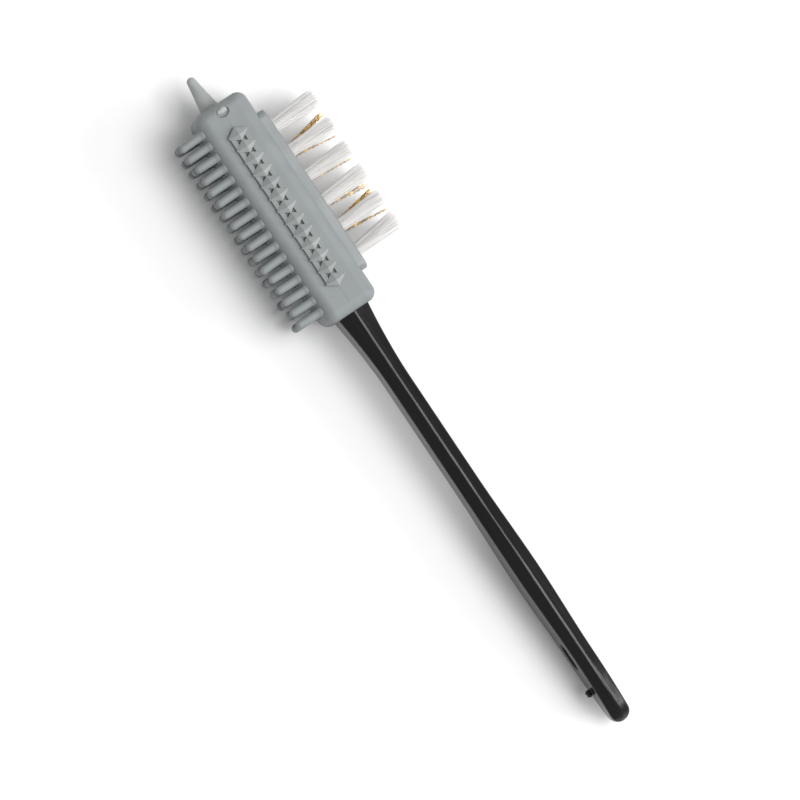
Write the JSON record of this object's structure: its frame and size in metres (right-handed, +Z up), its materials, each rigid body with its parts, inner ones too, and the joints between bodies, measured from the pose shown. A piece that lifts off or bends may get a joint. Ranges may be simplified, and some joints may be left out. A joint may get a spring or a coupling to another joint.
{
  "type": "club groove brush",
  "caption": "Long flat-handled brush with a rubber-sleeved head: nylon and brass bristle tufts, rubber pegs, pyramid stud rows and a pointed end spike.",
  "frame": {"origin": "centre of the hanging slot near the handle's rounded end, on the handle's centreline", "axes": "+X along the brush from the slot to the end spike, +Y out of the rubber peg side, -Y out of the bristle side, +Z up out of one stud row, with the brush lying on its other stud row"},
  "size_m": [0.2415, 0.0462, 0.0286],
  "materials": {
    "black_plastic": "glossy moulded black",
    "grey_rubber": "matt moulded grey",
    "grey_plastic": "satin moulded grey",
    "nylon": "clear to milky filament",
    "brass_wire": "crimped bright wire",
    "anchor_steel": "flat wire"
  },
  "bodies": {
    "root": {"brass_tuft_row2_2": "brass_wire", "brass_tuft_row2_3": "brass_wire", "brass_tuft_row2_4": "brass_wire", "brass_tuft_row2_5": "brass_wire", "bristle_block": "grey_plastic", "handle": "black_plastic", "nylon_tuft_row1_1": "nylon", "nylon_tuft_row1_2": "nylon", "nylon_tuft_row1_3": "nylon", "nylon_tuft_row1_4": "nylon", "nylon_tuft_row1_5": "nylon", "nylon_tuft_row1_6": "nylon", "nylon_tuft_row2_1": "nylon", "nylon_tuft_row2_6": "nylon", "nylon_tuft_row3_1": "nylon", "nylon_tuft_row3_2": "nylon", "nylon_tuft_row3_3": "nylon", "nylon_tuft_row3_4": "nylon", "nylon_tuft_row3_5": "nylon", "nylon_tuft_row3_6": "nylon", "rubber_pegs": "grey_rubber", "rubber_sleeve": "grey_rubber", "tuft_anchors": "anchor_steel"}
  },
  "joints": []
}
